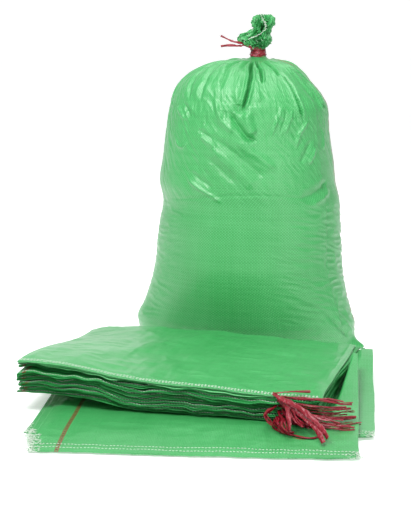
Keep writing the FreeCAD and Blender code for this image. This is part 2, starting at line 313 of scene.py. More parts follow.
def woven_cloth(name, stripe_at=None, gloss=1.0, painted_shade=0.0):
    """Green cloth woven from flat glossy tapes, over UVs in metres. stripe_at puts a red marker stripe
    there, and the painted-shade argument moves the colour towards the deep green of painted shade."""
    n = Nodes(name)
    parts = n.add("ShaderNodeSeparateXYZ")
    n.link(n.uv(), parts.inputs[0])
    u, v = parts.outputs["X"], parts.outputs["Y"]
    across, along = n.math("DIVIDE", u, TAPE), n.math("DIVIDE", v, TAPE)
    column, row = n.math("FLOOR", across), n.math("FLOOR", along)
    over = n.math("PINGPONG", n.plus(column, row), 1.0)
    under = n.math("SUBTRACT", 1.0, over)

    def arch(run):
        return n.math("ABSOLUTE", n.math("SINE", n.times(run, math.pi)))

    def tape_tone(index, seed):
        white = n.add("ShaderNodeTexWhiteNoise", noise_dimensions="1D")
        n.put(white.inputs["W"], n.plus(index, seed))
        return white.outputs["Value"]

    def woven(a, b):
        return n.plus(n.times(a, over), n.times(b, under))

    warp, weft = arch(across), arch(along)
    narrow = woven(warp, weft)
    pillow = woven(weft, warp)
    relief = n.plus(n.math("POWER", narrow, 0.4), n.times(n.math("POWER", pillow, 0.8), 0.8))
    tone = woven(tape_tone(column, 3.0), tape_tone(row, 7.0))
    cloudy = n.noise(n.place, 7.0, 4.0)
    # Painted sheen: over-tapes take the lighter warp green or the darker weft green by their direction.
    weft_colour, warp_colour = [n.ramp(cloudy, list(zip((0.3, 0.7), pair)))
                                for pair in (WEFT_GREENS, WARP_GREENS)]
    tapes = n.mix(n.times(tone, 0.18), n.mix(over, weft_colour, warp_colour), PALE_TAPE)
    # Painted shade: the narrow gaps at the tapes' edges are darkened towards the shade green, and the
    # painted-shade argument darkens all of the cloth the same way.
    painted_gap_shade = n.math("LESS_THAN", narrow, 0.30)
    colour = n.mix(n.plus(n.times(painted_gap_shade, 0.35), painted_shade), tapes, PAINTED_SHADE_GREEN)
    if stripe_at is not None:
        distance = n.math("ABSOLUTE", n.math("SUBTRACT", u, stripe_at))
        within = n.math("LESS_THAN", distance, STRIPE_WIDTH / 2)
        lines = n.times(within, n.math("GREATER_THAN", distance, STRIPE_WIDTH * 0.12))
        ladder = n.math("LESS_THAN", n.math("FRACT", n.math("DIVIDE", v, 3 * TAPE)), 0.5)
        colour = n.mix(n.times(n.times(within, ladder), 0.90), colour, STRIPE_DARK)
        colour = n.mix(n.times(lines, 0.72), colour, STRIPE_RED)
    rough = n.plus(n.times(n.noise(n.place, 55.0, 3.0), 0.20), 0.30)
    crinkle = n.plus(n.noise(n.place, 45.0, 5.0, 0.6), n.times(n.noise(n.place, 150.0, 3.0), 0.35))
    normal = n.bump(crinkle, 0.35, 0.0035, n.bump(relief, 0.5, 0.0005))
    return n.surface(colour, rough, normal, Specular_IOR_Level=0.5 * gloss, Coat_Weight=0.50 * gloss,
                     Coat_Roughness=0.33)


def sewing_thread(name):
    """Pale twisted thread."""
    n = Nodes(name)
    fuzz = n.noise(n.place, 900.0, 2.0)
    colour = n.mix(fuzz, rgb(170, 196, 172), rgb(222, 230, 220))
    return n.surface(colour, 0.7, n.bump(fuzz, 0.5, 0.0003), Sheen_Weight=0.3)


def raffia(name):
    """Crimson plastic raffia: fine streaks along its length, and a painted pink shine in patches on its
    crumples.
    """
    n = Nodes(name)
    streak_map = n.add("ShaderNodeMapping")
    streak_map.inputs["Scale"].default_value = (1400.0, 22.0, 1.0)
    n.link(n.uv(), streak_map.inputs["Vector"])
    streaks = n.noise(streak_map.outputs[0], 1.0, 3.0)
    patches = n.noise(n.place, 130.0, 3.0)
    base = n.ramp(streaks, list(zip((0.30, 0.55, 0.75), RAFFIA_REDS)))
    # Painted highlight: pale pink patches mixed into the colour, following the same noise as the crumples'
    # bump.
    pale = n.ramp(patches, [(0.58, BLACK), (0.74, WHITE)])
    normal = n.bump(streaks, 0.6, 0.0006, n.bump(patches, 0.5, 0.002))
    return n.surface(n.mix(n.times(pale, 0.42), base, RAFFIA_SHINE), 0.34, normal, Coat_Weight=0.15,
                     Coat_Roughness=0.25)


def loose_fill(name):
    """The contents, which the cloth hides."""
    n = Nodes(name)
    flakes = n.noise(n.place, 120.0, 4.0)
    colour = n.ramp(flakes, [(0.35, rgb(96, 78, 48)), (0.65, rgb(170, 146, 98))])
    return n.surface(colour, 0.9, n.bump(flakes, 0.8, 0.004))


GREEN = woven_cloth("woven_green_cloth")
GREEN_PILE = woven_cloth("woven_green_cloth_of_the_pile", stripe_at=0.053)
# The bundle's layers: the same cloth, darkened all over as painted shade.
SHADED_GREEN_BUNDLE = woven_cloth("woven_green_cloth_of_the_bundle", stripe_at=0.014, gloss=0.15, painted_shade=0.30)
GREEN_FILLED = woven_cloth("woven_green_cloth_of_the_filled_sack", stripe_at=STRIPE_ON_FILLED)
THREAD = sewing_thread("pale_sewing_thread")
RED = raffia("crimson_raffia")
FILL = loose_fill("loose_fill")


# ---------------------------------------------------------------- the camera, floor and light

CAMERA_PLACE = (-0.107, -3.717, 0.899)
CAMERA_DOWN = 10.54  # degrees below level
FOCAL_LENGTH = 112.5
FILM_WIDTH = 36.0
BACKDROP = 8.0  # how far behind the middle it stands, beyond the camera in every view
BACKDROP_HEIGHT = 5.0
BACKDROP_CURVE = 1.2
FLOOR_REACH = 9.0
FLOOR_DROP = 0.0004
FLOOR_GLOW = 0.38
AIR_GLOW = 0.47
# Name, place, target, size and power of each area light
LIGHTS = [
    ("key_light", (-0.9, -2.0, 2.6), (0.0, 0.0, 0.40), (1.7, 1.4), 88.0),
    ("fill_light", (1.2, -3.0, 0.8), (0.0, 0.0, 0.15), (1.4, 1.4), 18.0),
    ("top_light", (0.2, 0.0, 2.9), (0.0, 0.0, 0.0), (2.4, 1.6), 40.0),
]


def camera():
    data = bpy.data.cameras.new("camera")
    data.sensor_width = FILM_WIDTH
    data.lens = FOCAL_LENGTH
    data.clip_end = 50.0
    eye = bpy.data.objects.new("camera", data)
    eye.location = CAMERA_PLACE
    eye.rotation_euler = (math.radians(90.0 - CAMERA_DOWN), 0.0, 0.0)
    bpy.context.collection.objects.link(eye)
    bpy.context.scene.camera = eye


def area_light(name, place, target, size, power):
    data = bpy.data.lights.new(name, "AREA")
    data.shape = "RECTANGLE"
    data.size, data.size_y = size
    data.energy = power
    lamp = bpy.data.objects.new(name, data)
    lamp.location = place
    lamp.rotation_euler = (Vector(target) - Vector(place)).to_track_quat("-Z", "Y").to_euler()
    bpy.context.collection.objects.link(lamp)


def studio():
    """A pale floor that curves up into a pale backdrop, and large soft lights."""
    profile = [(-FLOOR_REACH, 0.0), (BACKDROP - BACKDROP_CURVE, 0.0)]
    for step in range(1, 13):
        turn = math.pi / 2 * step / 12
        profile.append((BACKDROP - BACKDROP_CURVE * (1.0 - math.sin(turn)),
                        BACKDROP_CURVE * (1.0 - math.cos(turn))))
    profile.append((BACKDROP, BACKDROP_HEIGHT))
    points = [(x, y, z - FLOOR_DROP) for y, z in profile for x in (-FLOOR_REACH, FLOOR_REACH)]
    n = Nodes("pale_floor")
    colour = n.mix(n.noise(n.place, 0.6, 2.0), (0.90, 0.90, 0.90, 1), (0.93, 0.93, 0.93, 1))
    material = n.surface(colour, 0.9, Emission_Color=WHITE, Emission_Strength=FLOOR_GLOW)
    mesh_object("studio_floor", points, grid_faces(len(profile), 2), None, material)
    world = bpy.data.worlds.new("studio_air")
    world.use_nodes = True
    world.node_tree.nodes["Background"].inputs["Color"].default_value = WHITE
    world.node_tree.nodes["Background"].inputs["Strength"].default_value = AIR_GLOW
    bpy.context.scene.world = world
    for light in LIGHTS:
        area_light(*light)
    bpy.context.scene.view_settings.view_transform = "Standard"


# ---------------------------------------------------------------- cords

def route_spline(name, points):
    """The smooth line of a cord: a NURBS curve with the route's points as its control points."""
    data = bpy.data.curves.new(name, "CURVE")
    data.dimensions = "3D"
    data.resolution_u = 12
    spline = data.splines.new("NURBS")
    spline.points.add(len(points) - 1)
    for control, point in zip(spline.points, points):
        control.co = (*point, 1.0)
    spline.order_u = 3
    spline.use_endpoint_u = True
    return data


def points_along(data):
    """The points that a bevel-less curve gives, in order. The curve is removed."""
    holder = bpy.data.objects.new("route", data)
    bpy.context.collection.objects.link(holder)
    bpy.context.view_layer.update()
    mesh = bpy.data.meshes.new_from_object(holder)
    line = np.array([v.co[:] for v in mesh.vertices])
    bpy.data.objects.remove(holder)
    bpy.data.meshes.remove(mesh)
    bpy.data.curves.remove(data)
    return line


def even_spacing(line, count):
    """The same line with evenly spaced points, and its length."""
    so_far = running(np.linalg.norm(np.diff(line, axis=0), axis=1))
    at = np.linspace(0.0, so_far[-1], count)
    return np.stack([np.interp(at, so_far, line[:, i]) for i in range(3)], -1), so_far[-1]


def along_frame(line, roll, twist, wander):
    """Across and outward directions along a line, turning as a crumpled ribbon turns."""
    s = running(np.linalg.norm(np.diff(line, axis=0), axis=1))
    tangent = np.gradient(line, axis=0)
    tangent /= np.linalg.norm(tangent, axis=1)[:, None] + 1e-12
    side = np.cross(tangent, (0.0, 0.0, 1.0))
    side /= np.maximum(np.linalg.norm(side, axis=1), 1e-6)[:, None]
    up = np.cross(side, tangent)
    turn = math.radians(roll) + math.radians(twist) * s / s[-1] + 0.3 * np.sin(s * 60 + wander)
    across = side * np.cos(turn)[:, None] + up * np.sin(turn)[:, None]
    return s, across, np.cross(across, tangent)


def strand(line, width, seed, roll, twist, thickness=0.00022):
    """A crumpled flat strand of raffia along a line: its points, faces and UVs."""
    rng = np.random.default_rng(seed)
    s, across, outward = along_frame(line, roll, twist, rng.uniform(0, 6))
    crumple = creases(seed + 1, 0.003, 0.016, 12, (1.0, 2.2))
    taper = np.clip(s / 0.006, 0.45, 1.0)
    wave = 0.16 * np.sin(s * 110 + rng.uniform(0, 6))
    breadth = 0.5 * width * taper * (1.0 + wave + 0.10 * np.sin(s * 260))
    ups = np.linspace(-1.0, 1.0, 8)
    fold = rng.uniform(0.12, 0.38) * width
    ridge = rng.uniform(-0.3, 0.3)
    top, under = [], []
    for u in ups:
        lift = fold * (0.5 - abs(u - ridge)) + 0.10 * width * crumple(u * width / 2, s)
        centre = line + across * (u * breadth)[:, None] + outward * lift[:, None]
        top.append(centre + outward * thickness)
        under.append(centre - outward * thickness)
    ring = np.stack(top + under[::-1], 1)
    count, sections = ring.shape[:2]
    quads = grid_faces(count, sections, wrap=True)
    ends = np.array([[k, k + 1, sections - 2 - k, sections - 1 - k] for k in range(len(ups) - 1)])
    last = (count - 1) * sections
    faces = np.concatenate([quads, ends, ends[:, ::-1] + last])
    width_at = np.concatenate([ups, ups[::-1]]) * width / 2
    uv_at = grid_of(width_at[None, :], s[:, None]).reshape(-1, 2)
    return ring.reshape(-1, 3), faces, uv_at[faces.reshape(-1)]


def ribbon(name, points, width, seed, roll, twist, body, node, strands):
    """A tail of raffia along a route. Its strands lie together where it leaves the sack and part later."""
    smooth = points_along(route_spline(name + "_route", points))
    line, length = even_spacing(smooth, max(24, len(points) * 11))
    rng = np.random.default_rng(seed)
    s, across, outward = along_frame(line, roll, twist, rng.uniform(0, 6))
    share = s / length
    spread = smoothstep(0.04, 0.5, share) * (1.0 - 0.35 * smoothstep(0.85, 1.0, share)) * width * 0.48
    parts = []
    for k in range(strands):
        heading = math.tau * k / strands + rng.uniform(-0.4, 0.4)
        wander = heading + 1.4 * np.sin(share * rng.uniform(3, 6) + rng.uniform(0, 6))
        apart = spread * (strands > 1)
        path = line + across * (apart * np.cos(wander))[:, None]
        path += outward * (apart * 0.8 * np.sin(wander))[:, None]
        path[:, 2] = np.maximum(path[:, 2], line[:, 2] - 0.0035)
        keep = len(line) if k < 2 else int(len(line) * rng.uniform(0.80, 1.0))
        own = width * (0.95 if strands == 1 else rng.uniform(0.36, 0.56))
        own_roll = roll + 50 * rng.uniform(-1, 1)
        own_twist = twist + 60 * rng.uniform(-1, 1)
        parts.append(strand(path[:keep], own, seed * 7 + k, own_roll, own_twist))
    piece = piece_of(parts, name, RED, body, node)
    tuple(points[0])
    [tuple(p) for p in line]


# Points of the tie's two tails at the neck, in tenths of a mm
NECK_TAILS = {
    "neck_tie_tail_upper": [(-195, -130, 7065), (-310, -180, 7095), (-450, -200, 7120), (-590, -190, 7190),
                            (-720, -210, 7250)],
    "neck_tie_tail_lower": [(-200, -140, 7025), (-310, -200, 7015), (-450, -240, 7035), (-590, -250, 7030),
                            (-720, -280, 7010)],
}

# Each sack's tie leaves its hem this far right of the bundle's middle and this high above the ground.
# The rest of a tail's points are (right of the exit, in front of the hem, height), in tenths of a mm.
TIE_WIDTH = 0.0085
WIDE_TIE = 0.0100
THIN_TIE = 0.0052
NECK_TAIL_WIDTH = 0.0058
TIE_EXITS = (0.230, 0.222, 0.234, 0.224, 0.230, 0.220, 0.232, 0.222, 0.228, 0.213)
TIE_HEIGHTS = (0.0222, 0.0279, 0.0336, 0.0393, 0.045, 0.0506, 0.0563, 0.062, 0.0677, 0.0756)
TIE_TAILS = [
    [[(140, 130, 215), (400, 270, 185), (720, 360, 165), (1060, 360, 160), (1360, 280, 175)],
     [(-90, 130, 215), (-130, 320, 195), (-40, 520, 170), (180, 700, 155), (440, 900, 150),
     (660, 1000, 145), (840, 900, 145), (900, 720, 150)]],
    [[(120, 140, 270), (380, 220, 240), (700, 250, 215), (1040, 190, 210), (1340, 60, 215),
     (1600, -100, 220)],
     [(-20, 180, 270), (60, 440, 235), (240, 660, 205), (460, 800, 190)]],
    [[(130, 120, 325), (380, 260, 290), (720, 360, 250), (1080, 380, 235), (1420, 300, 235)],
     [(-70, 170, 325), (-80, 420, 285), (20, 660, 250), (200, 860, 230)]],
    [[(160, 100, 380), (460, 140, 350), (820, 100, 320), (1160, -30, 300), (1480, -200, 295)],
     [(30, 190, 380), (160, 440, 340), (220, 740, 300), (380, 980, 275)]],
    [[(140, 110, 435), (420, 200, 400), (760, 220, 360), (1100, 180, 340), (1380, 80, 335)],
     [(40, 180, 435), (200, 400, 395), (440, 580, 355), (660, 820, 320)]],
    [[(150, 110, 490), (460, 160, 450), (820, 110, 410), (1160, -60, 385), (1460, -300, 375)],
     [(-30, 180, 490), (-120, 400, 445), (-80, 660, 395), (100, 860, 360)]],
    [[(130, 130, 545), (360, 280, 500), (620, 460, 450), (920, 540, 410), (1200, 560, 390)],
     [(60, 170, 545), (220, 360, 500), (340, 640, 435), (560, 860, 390)]],
    [[(150, 110, 605), (460, 170, 570), (800, 170, 535), (1100, 40, 510), (1380, -200, 490)],
     [(80, 160, 605), (300, 340, 560), (540, 560, 500), (780, 820, 430), (980, 1060, 300),
     (1080, 1220, 180)]],
    [[(140, 120, 695), (440, 190, 715), (780, 190, 705), (1100, 60, 650), (1360, -140, 580)],
     [(80, 160, 660), (180, 380, 610), (240, 620, 540), (300, 840, 440), (340, 1020, 310)]],
    [[(80, 80, 770), (240, 60, 795), (460, -80, 790), (700, -160, 775)],
     [(70, 150, 745), (280, 320, 715), (580, 500, 640), (860, 720, 530), (1120, 960, 380),
     (1240, 1120, 250)]],
]


def bundle_shift(index):
    """How far a sack of the bundle lies from the top one, to the right and to the rear."""
    if index == BUNDLE_COUNT - 1:
        return 0.0, 0.0
    return -0.004 + 0.005 * math.sin(2.4 * index), 0.003 + 0.003 * math.sin(1.7 * index + 1.0)


def in_metres(points):
    """Points given in tenths of a millimetre."""
    return [tuple(v / 10000 for v in point) for point in points]


def ground_place(front, yaw, x, y):
    """From a stack's own directions to the ground."""
    c, s = cos_sin(yaw)
    return front[0] + c * x - s * y, front[1] + s * x + c * y


def bundle_ties():
    for index, tails in enumerate(TIE_TAILS):
        body = "top_sack_flap" if index == BUNDLE_COUNT - 1 else f"bundle_sack_{index + 1:02d}"
        node = f"bundle_tie_{index + 1:02d}"
        hem_y = bundle_shift(index)[1]
        for number, points in enumerate(tails):
            route = []
            for along, out, height in [(0, 0, TIE_HEIGHTS[index])] + in_metres(points):
                x, y = ground_place(BUNDLE_FRONT, BUNDLE_YAW, TIE_EXITS[index] + along, hem_y - out)
                route.append((x, y, height))
            seed = 40 + 2 * index + number
            roll = -30.0 + 60.0 * ((seed * 37) % 11) / 10
            twist = -80.0 + 160.0 * ((seed * 53) % 13) / 12
            wide = number == 1 and index >= BUNDLE_COUNT - 3
            thin = number == 0 and index == BUNDLE_COUNT - 1
            width = WIDE_TIE if wide else THIN_TIE if thin else TIE_WIDTH
            strands = 1 if wide or thin else 4
            ribbon(f"{node}_{'ab'[number]}", route, width, seed, roll, twist, body, node, strands)


def neck_tails():
    for number, (node, points) in enumerate(NECK_TAILS.items()):
        ribbon(node + "_ribbon", in_metres(points), NECK_TAIL_WIDTH, 80 + number, 62.0, 25.0, "neck_tails",
               node, 1)


# ---------------------------------------------------------------- stacks of folded sacks

class Stack:
    """Folded sacks lying on each other. level() gives the height of any layer over any point, so that
    the layers follow each other and never pass through one another."""

    def __init__(self, front, yaw, count, bottom, top, seed, unevenness, droop):
        self.front, self.yaw, self.count = front, yaw, count
        self.bottom, self.top = bottom, top
        self.unevenness, self.droop = unevenness, droop
        self.front_waves = [ripples(seed + i, 0.035, 0.26, 14, (1.0, 3.0)) for i in range(count)]
        self.body_waves = [ripples(seed + 50 + i, 0.15, 0.6, 8) for i in range(count)]

    def level(self, layer, x, y):
        x, y, layer = np.broadcast_arrays(*(np.asarray(value, float) for value in (x, y, layer)))
        total = np.zeros(x.shape)
        below = np.zeros(x.shape)
        near_front = np.exp(-np.maximum(y, 0.0) / 0.10)
        for i in range(self.count):
            share = 1.0 + self.unevenness * near_front * np.tanh(self.front_waves[i](x, y) * 0.8)
            share = share + 0.12 * np.tanh(self.body_waves[i](x, y))
            total += share
            below += share * np.clip(layer - i, 0.0, 1.0)
        below += np.maximum(layer - self.count, 0.0)
        low, high = self.bottom(x, y), self.top(x, y)
        part = below / total
        sag = self.droop * part * np.clip(1.0 - y / 0.016, 0.0, 1.5) ** 2
        return low + (high - low) * part - sag

    def place(self, x, y, z):
        return grid_of(*ground_place(self.front, self.yaw, x, y), z)


def beside_bundle(gx, gy):
    """How far a place on the ground is to the right of the bundle's middle."""
    c, s = cos_sin(BUNDLE_YAW)
    return c * (gx - BUNDLE_FRONT[0]) + s * (gy - BUNDLE_FRONT[1])


def pile_top(x, y):
    """The pile is flat in front and under the bundle, and puffs up to the right of the bundle."""
    front = curve_through(y, [(-0.02, 0.0045), (0.0, 0.0050), (0.03, 0.0075), (0.08, 0.0125), (0.14, 0.0155),
                              (0.20, 0.0150), (0.30, 0.0145), (0.70, 0.0155)])
    gx, gy = ground_place(PILE_FRONT, PILE_YAW, x, y)
    rise = curve_through(y, [(0.05, 0.0), (0.20, 0.008), (0.35, 0.026), (0.45, 0.048), (0.51, 0.066),
                             (0.56, 0.092), (0.63, 0.122), (0.70, 0.125)])
    return front + rise * smoothstep(0.309, 0.322, beside_bundle(gx, gy))


def bundle_bottom(x, y):
    front = curve_through(x, [(-0.32, 0.039), (-0.25, 0.041), (-0.175, 0.036), (-0.10, 0.0235),
                              (-0.03, 0.0175), (0.10, 0.0165), (0.32, 0.0165)])
    rear = 0.0175
    return front + (rear - front) * smoothstep(0.04, 0.30, y)


def bundle_top(x, y):
    front = curve_through(x, [(-0.32, 0.111), (-0.21, 0.106), (-0.12, 0.091), (-0.03, 0.081), (0.09, 0.076),
                              (0.18, 0.070), (0.32, 0.068)])
    rear = curve_through(x, [(-0.32, 0.056), (-0.22, 0.070), (-0.10, 0.069), (0.32, 0.054)])
    slope = front + (rear - front) * smoothstep(0.02, 0.50, y)
    bend = x + 0.235 - 0.45 * y
    return slope + 0.0035 * np.exp(-(bend / 0.035) ** 2) * smoothstep(0.02, 0.10, y)


BUNDLE = Stack(BUNDLE_FRONT, BUNDLE_YAW, BUNDLE_COUNT, bundle_bottom, bundle_top, 11, 0.55, 0.0012)
PILE = Stack(PILE_FRONT, PILE_YAW, PILE_COUNT, lambda x, y: 0.0003 + 0.0 * x, pile_top, 31, 0.30, 0.001)


def across_samples(count):
    """Places across a sack, closer together at its two folded edges."""
    middle = np.linspace(-HALF_WIDTH + 0.006, HALF_WIDTH - 0.006, count)
    edge = np.array([0.0, 0.0006, 0.0016, 0.0032])
    return np.concatenate([-HALF_WIDTH + edge, middle, (HALF_WIDTH - edge)[::-1]])


def depth_samples(count):
    """Places from front to rear, closer together at the front."""
    t = np.linspace(0.0, 1.0, count)
    return 0.003 + (FOLDED_DEPTH - 0.008) * (0.35 * t + 0.65 * t ** 2.2)


def hem(level, turned):
    """The turned-in edge of the mouth, from inside to the front: (depth, layer) pairs."""
    return [(0.013, turned), (0.007, turned), (0.0022, turned), (0.0004, 0.7 * turned + 0.3 * level),
            (0.0, 0.5 * (turned + level)), (0.0004, 0.3 * turned + 0.7 * level), (0.0014, level)]


def fold(high, low, reach, count=7):
    """The round of a fold at the rear, from the high layer to the low one."""
    turns = np.linspace(0.0, math.pi, count)
    middle, half = (high + low) / 2, (high - low) / 2
    return [(FOLDED_DEPTH - 0.004 + reach * math.sin(a), middle + half * math.cos(a)) for a in turns]


def tube_of_cloth(name, outer, inner, place, across, material, body, node, length):
    """A flattened tube, a folded sack or half of one: two walls along matching rows of (depth, layer),
    joined at both folded edges. length, how much of the flat sack it shows, is not used."""
    rows, columns = len(outer), len(across)
    walls = []
    for wall in (outer, inner):
        depth = np.array([r[0] for r in wall])[:, None]
        layer = np.array([r[1] for r in wall])[:, None]
        x = np.broadcast_to(across[None, :], (rows, columns)).copy()
        walls.append(place(x, np.broadcast_to(depth, x.shape), np.broadcast_to(layer, x.shape)))
    for end in (0, -1):
        both = 0.5 * (walls[0][:, end] + walls[1][:, end])
        walls[0][:, end] = walls[1][:, end] = both
    parts = []
    for number, (wall, points) in enumerate(zip((outer, inner), walls)):
        faces = grid_faces(rows, columns)
        if number:
            faces = faces[:, ::-1]
        run = np.linalg.norm(np.diff(np.array([[r[0], 0.004 * r[1]] for r in wall]), axis=0), axis=1)
        u = across + HALF_WIDTH if not number else SACK_WIDTH * 2 - (across + HALF_WIDTH)
        uv = grid_of(u[None, :], running(run)[:, None]).reshape(-1, 2)
        parts.append((points.reshape(-1, 3), faces, uv[faces.reshape(-1)]))
    piece = mesh_object(name, *joined(parts), material)
    mesh = bmesh.new()
    mesh.from_mesh(piece.data)
    bmesh.ops.remove_doubles(mesh, verts=mesh.verts, dist=WELD)
    mesh.to_mesh(piece.data)
    mesh.free()
    settle(piece, body, node)


def sack_placer(stack, index, shift, turn, seed, relief=None):
    """Where a sack's (across, depth, layer within it) lies: its own shift and turn, and its uneven front."""
    rng = np.random.default_rng(seed)
    wavy = ripples(seed, 0.06, 0.40, 12)
    fine = ripples(seed + 500, 0.008, 0.03, 10)
    corner_out = rng.uniform(-0.0080, 0.0055, 2)
    corner_back = rng.uniform(-0.002, 0.009, 2)
    c, s = cos_sin(turn)

    def place(x, y, layer):
        front = np.exp(-np.maximum(y, 0.0) / 0.03)
        side = (x > 0).astype(int)
        edge = np.exp(-(HALF_WIDTH - np.abs(x)) / 0.022)
        upper = smoothstep(0.4, 0.6, layer)
        y2 = y + front * (0.0020 * wavy(x, 2.0 * upper) + 0.0004 * fine(x, 1.0 * upper)
                          + edge * corner_back[side])
        x2 = x + np.sign(x) * edge * front * (corner_out[side] - 0.003 * (1.0 - upper))
        x2 = x2 + 0.0007 * wavy(y, 5.0) * edge
        xs = shift[0] + c * x2 - s * y2
        ys = shift[1] + s * x2 + c * y2
        z = stack.level(index + layer, xs, ys)
        if relief is not None:
            z = z + relief(xs, ys, x, y, layer)
        return stack.place(xs, ys, z)
    return place


def stitches(place, rows, pitch, lift, seed, body, node, extra=(), radius=THREAD_RADIUS):
    """Rows of stitching from edge to edge: short slack loops of thread that dip through the cloth."""
    rng = np.random.default_rng(seed)
    parts = []
    edge = HALF_WIDTH - 0.003
    bow = 0.0005 * np.sin(np.linspace(0, math.pi, 5))
    for row in rows:
        for i in range(int(2 * edge / pitch)):
            start = -edge + i * pitch + rng.uniform(0, 0.0006)
            run = np.linspace(0.0, pitch * rng.uniform(0.50, 0.72), 5)
            x = start + run
            line = place(x, row + rng.normal(0, 0.00045) + bow, np.full(5, TOP_LAYER))
            line[:, 2] += lift + bow - 0.0003
            parts.append(thin_tube(line, radius, 5))
    piece_of(parts + list(extra), node + "_stitches", THREAD, body, node)


def frayed_ends(place, seed, side, first, last, count):
    """Loose pale fibres along a stretch of a folded edge and its corner, each a thin curved tube."""
    rng = np.random.default_rng(seed)
    parts = []
    for _ in range(count):
        inward = rng.uniform(-0.003, 0.004) + 0.020 * rng.uniform(0, 1) ** 4
        x = side * (HALF_WIDTH - inward)
        y = first + (last - first) * rng.uniform(0, 1) ** 1.5
        heading = rng.uniform(0, math.tau)
        turn = rng.uniform(-2.5, 2.5)
        length = rng.uniform(0.003, 0.010)
        steps = np.linspace(0.0, 1.0, 6)
        angle = heading + turn * steps
        xs = x + running(np.cos(angle[1:])) * length / 5
        ys = y + running(np.sin(angle[1:])) * length / 5
        line = place(xs, ys, np.full(6, TOP_LAYER))
        line[:, 2] = np.maximum(line[:, 2] + 0.0006 + 0.0012 * steps * rng.uniform(0, 1), 0.0006)
        parts.append(thin_tube(line, 0.00045, 4))
    return parts


def thin_tube(line, radius, sides):
    """A small closed-off tube along a few points, tapered at both ends."""
    count = len(line)
    tangent = np.gradient(line, axis=0)
    tangent /= np.linalg.norm(tangent, axis=1)[:, None] + 1e-12
    side = np.cross(tangent, (0.0, 0.0, 1.0))
    side /= np.linalg.norm(side, axis=1)[:, None] + 1e-9
    up = np.cross(side, tangent)
    angle = np.arange(sides) * math.tau / sides
    size = radius * (0.35 + 0.65 * np.sin(np.linspace(0.15, math.pi - 0.15, count)))
    ring = line[:, None] + size[:, None, None] * (np.cos(angle)[None, :, None] * side[:, None]
                                                  + np.sin(angle)[None, :, None] * up[:, None])
    faces = grid_faces(count, sides, wrap=True)
    return ring.reshape(-1, 3), faces, np.zeros((faces.size, 2))


def top_relief(seed, height, crease_x=None):
    """Soft dents and faint pressed folds on a sheet that lies open to view. It only ever lifts the sheet."""
    dents = ripples(seed, 0.05, 0.22, 16)
    small = creases(seed + 1, 0.04, 0.12, 12, (1.6, 1.0))
    cross = creases(seed + 2, 0.05, 0.2, 8, (0.5, 4.0))

    def relief(xs, ys, x, y, layer):
        away = smoothstep(0.0, 0.03, y) * smoothstep(0.0, 0.02, HALF_WIDTH - np.abs(x))
        bump = height * (1.1 + 0.6 * dents(xs, ys) + 0.6 * small(xs, ys) + 0.4 * cross(xs, ys))
        total = np.maximum(bump, 0.0) * away
        if crease_x is not None:
            total = total + 0.0012 * np.exp(-((x - crease_x) / 0.0022) ** 2) * smoothstep(0.10, 0.40, y)
        return total * smoothstep(0.5, 0.95, layer)
    return relief


def folded_sack(stack, index, shift, turn, seed, material, name, relief=None, fine=False):
    """A whole folded sack: an outer wall over an inner one, both turned round the rear fold. Its lower half
    ends a little behind the hem of its upper half."""
    place = sack_placer(stack, index, shift, turn, seed, relief)
    setback = 0.014 + 0.010 * (0.5 + 0.5 * math.sin(2.9 * index + 0.5))
    runs = depth_samples(90 if fine else 24)
    back = (setback + runs * (1.0 - setback / FOLDED_DEPTH))[::-1]
    walls = []
    for upper, lower, turned, reach in ((TOP_LAYER, 0.05, 0.78, 0.0024), (0.50, 0.30, 0.66, 0.0010)):
        walls.append(hem(upper, turned) + [(y, upper) for y in runs] + fold(upper, lower, reach)
                     + [(y, lower) for y in back] + [(setback + 0.001, 0.12), (setback, 0.17)])
    across = across_samples(220 if fine else 140)
    tube_of_cloth(name + "_cloth", *walls, place, across, material, name, name, SACK_LENGTH)
    return place


def top_sack():
    """The bundle's top sack, in two halves: its upper half opens about the rear fold."""
    top = BUNDLE_COUNT - 1
    lower = f"bundle_sack_{BUNDLE_COUNT}"
    place = sack_placer(BUNDLE, top, (0.0, 0.0), 0.0, 140)
    runs = depth_samples(22)[:-1]
    outer = [(0.001, 0.16), (0.002, 0.07)] + [(y, 0.05) for y in runs]
    inner = [(0.001, 0.16), (0.002, 0.28)] + [(y, 0.34) for y in runs]
    tube_of_cloth(lower + "_cloth", outer, inner, place, across_samples(130), GREEN, lower, lower,
                  FOLDED_DEPTH)
    place = sack_placer(BUNDLE, top, (0.0, 0.0), 0.0, 141, top_relief(5, 0.0016, HALF_WIDTH - 0.012))
    runs = depth_samples(110)
    outer = hem(TOP_LAYER, 0.86) + [(y, TOP_LAYER) for y in runs] + fold(TOP_LAYER, 0.45, 0.0020)
    inner = hem(0.62, 0.74) + [(y, 0.62) for y in runs] + fold(0.62, 0.50, 0.0006)
    tube_of_cloth("top_sack_flap_cloth", outer, inner, place, across_samples(230), GREEN, "top_sack_flap",
                  "top_sack_flap", FOLDED_DEPTH)
    stitches(place, [0.0070, 0.0125], 0.0066, 0.0008, 240, "top_sack_flap",
             f"bundle_hem_thread_{BUNDLE_COUNT}", radius=0.0010)


def bundle():
    for index in range(BUNDLE_COUNT - 1):
        name = f"bundle_sack_{index + 1:02d}"
        place = folded_sack(BUNDLE, index, bundle_shift(index), BUNDLE_TURNS.get(index, 0.0), 100 + index,
                            SHADED_GREEN_BUNDLE, name)
        stitches(place, [0.0055], 0.0055, 0.0003, 200 + index, name, f"bundle_hem_thread_{index + 1:02d}")
    top_sack()


def lower_pile():
    for index, shift in enumerate(PILE_SHIFTS):
        name = f"pile_sack_{index + 1}"
        top = index == PILE_COUNT - 1
        relief = top_relief(9, 0.0010) if top else None
        place = folded_sack(PILE, index, shift, 0.0, 300 + index, GREEN_PILE, name, relief, top)
        frayed = frayed_ends(place, 360 + index, -1, -0.001, 0.075, 170 if index > 2 else 60)
        frayed += frayed_ends(place, 380 + index, 1, -0.001, 0.030, 60)
        stitches(place, [0.017, 0.031], 0.0066, 0.0006, 320 + index, name, f"pile_seam_thread_{index + 1}",
                 frayed)


# ---------------------------------------------------------------- the filled sack

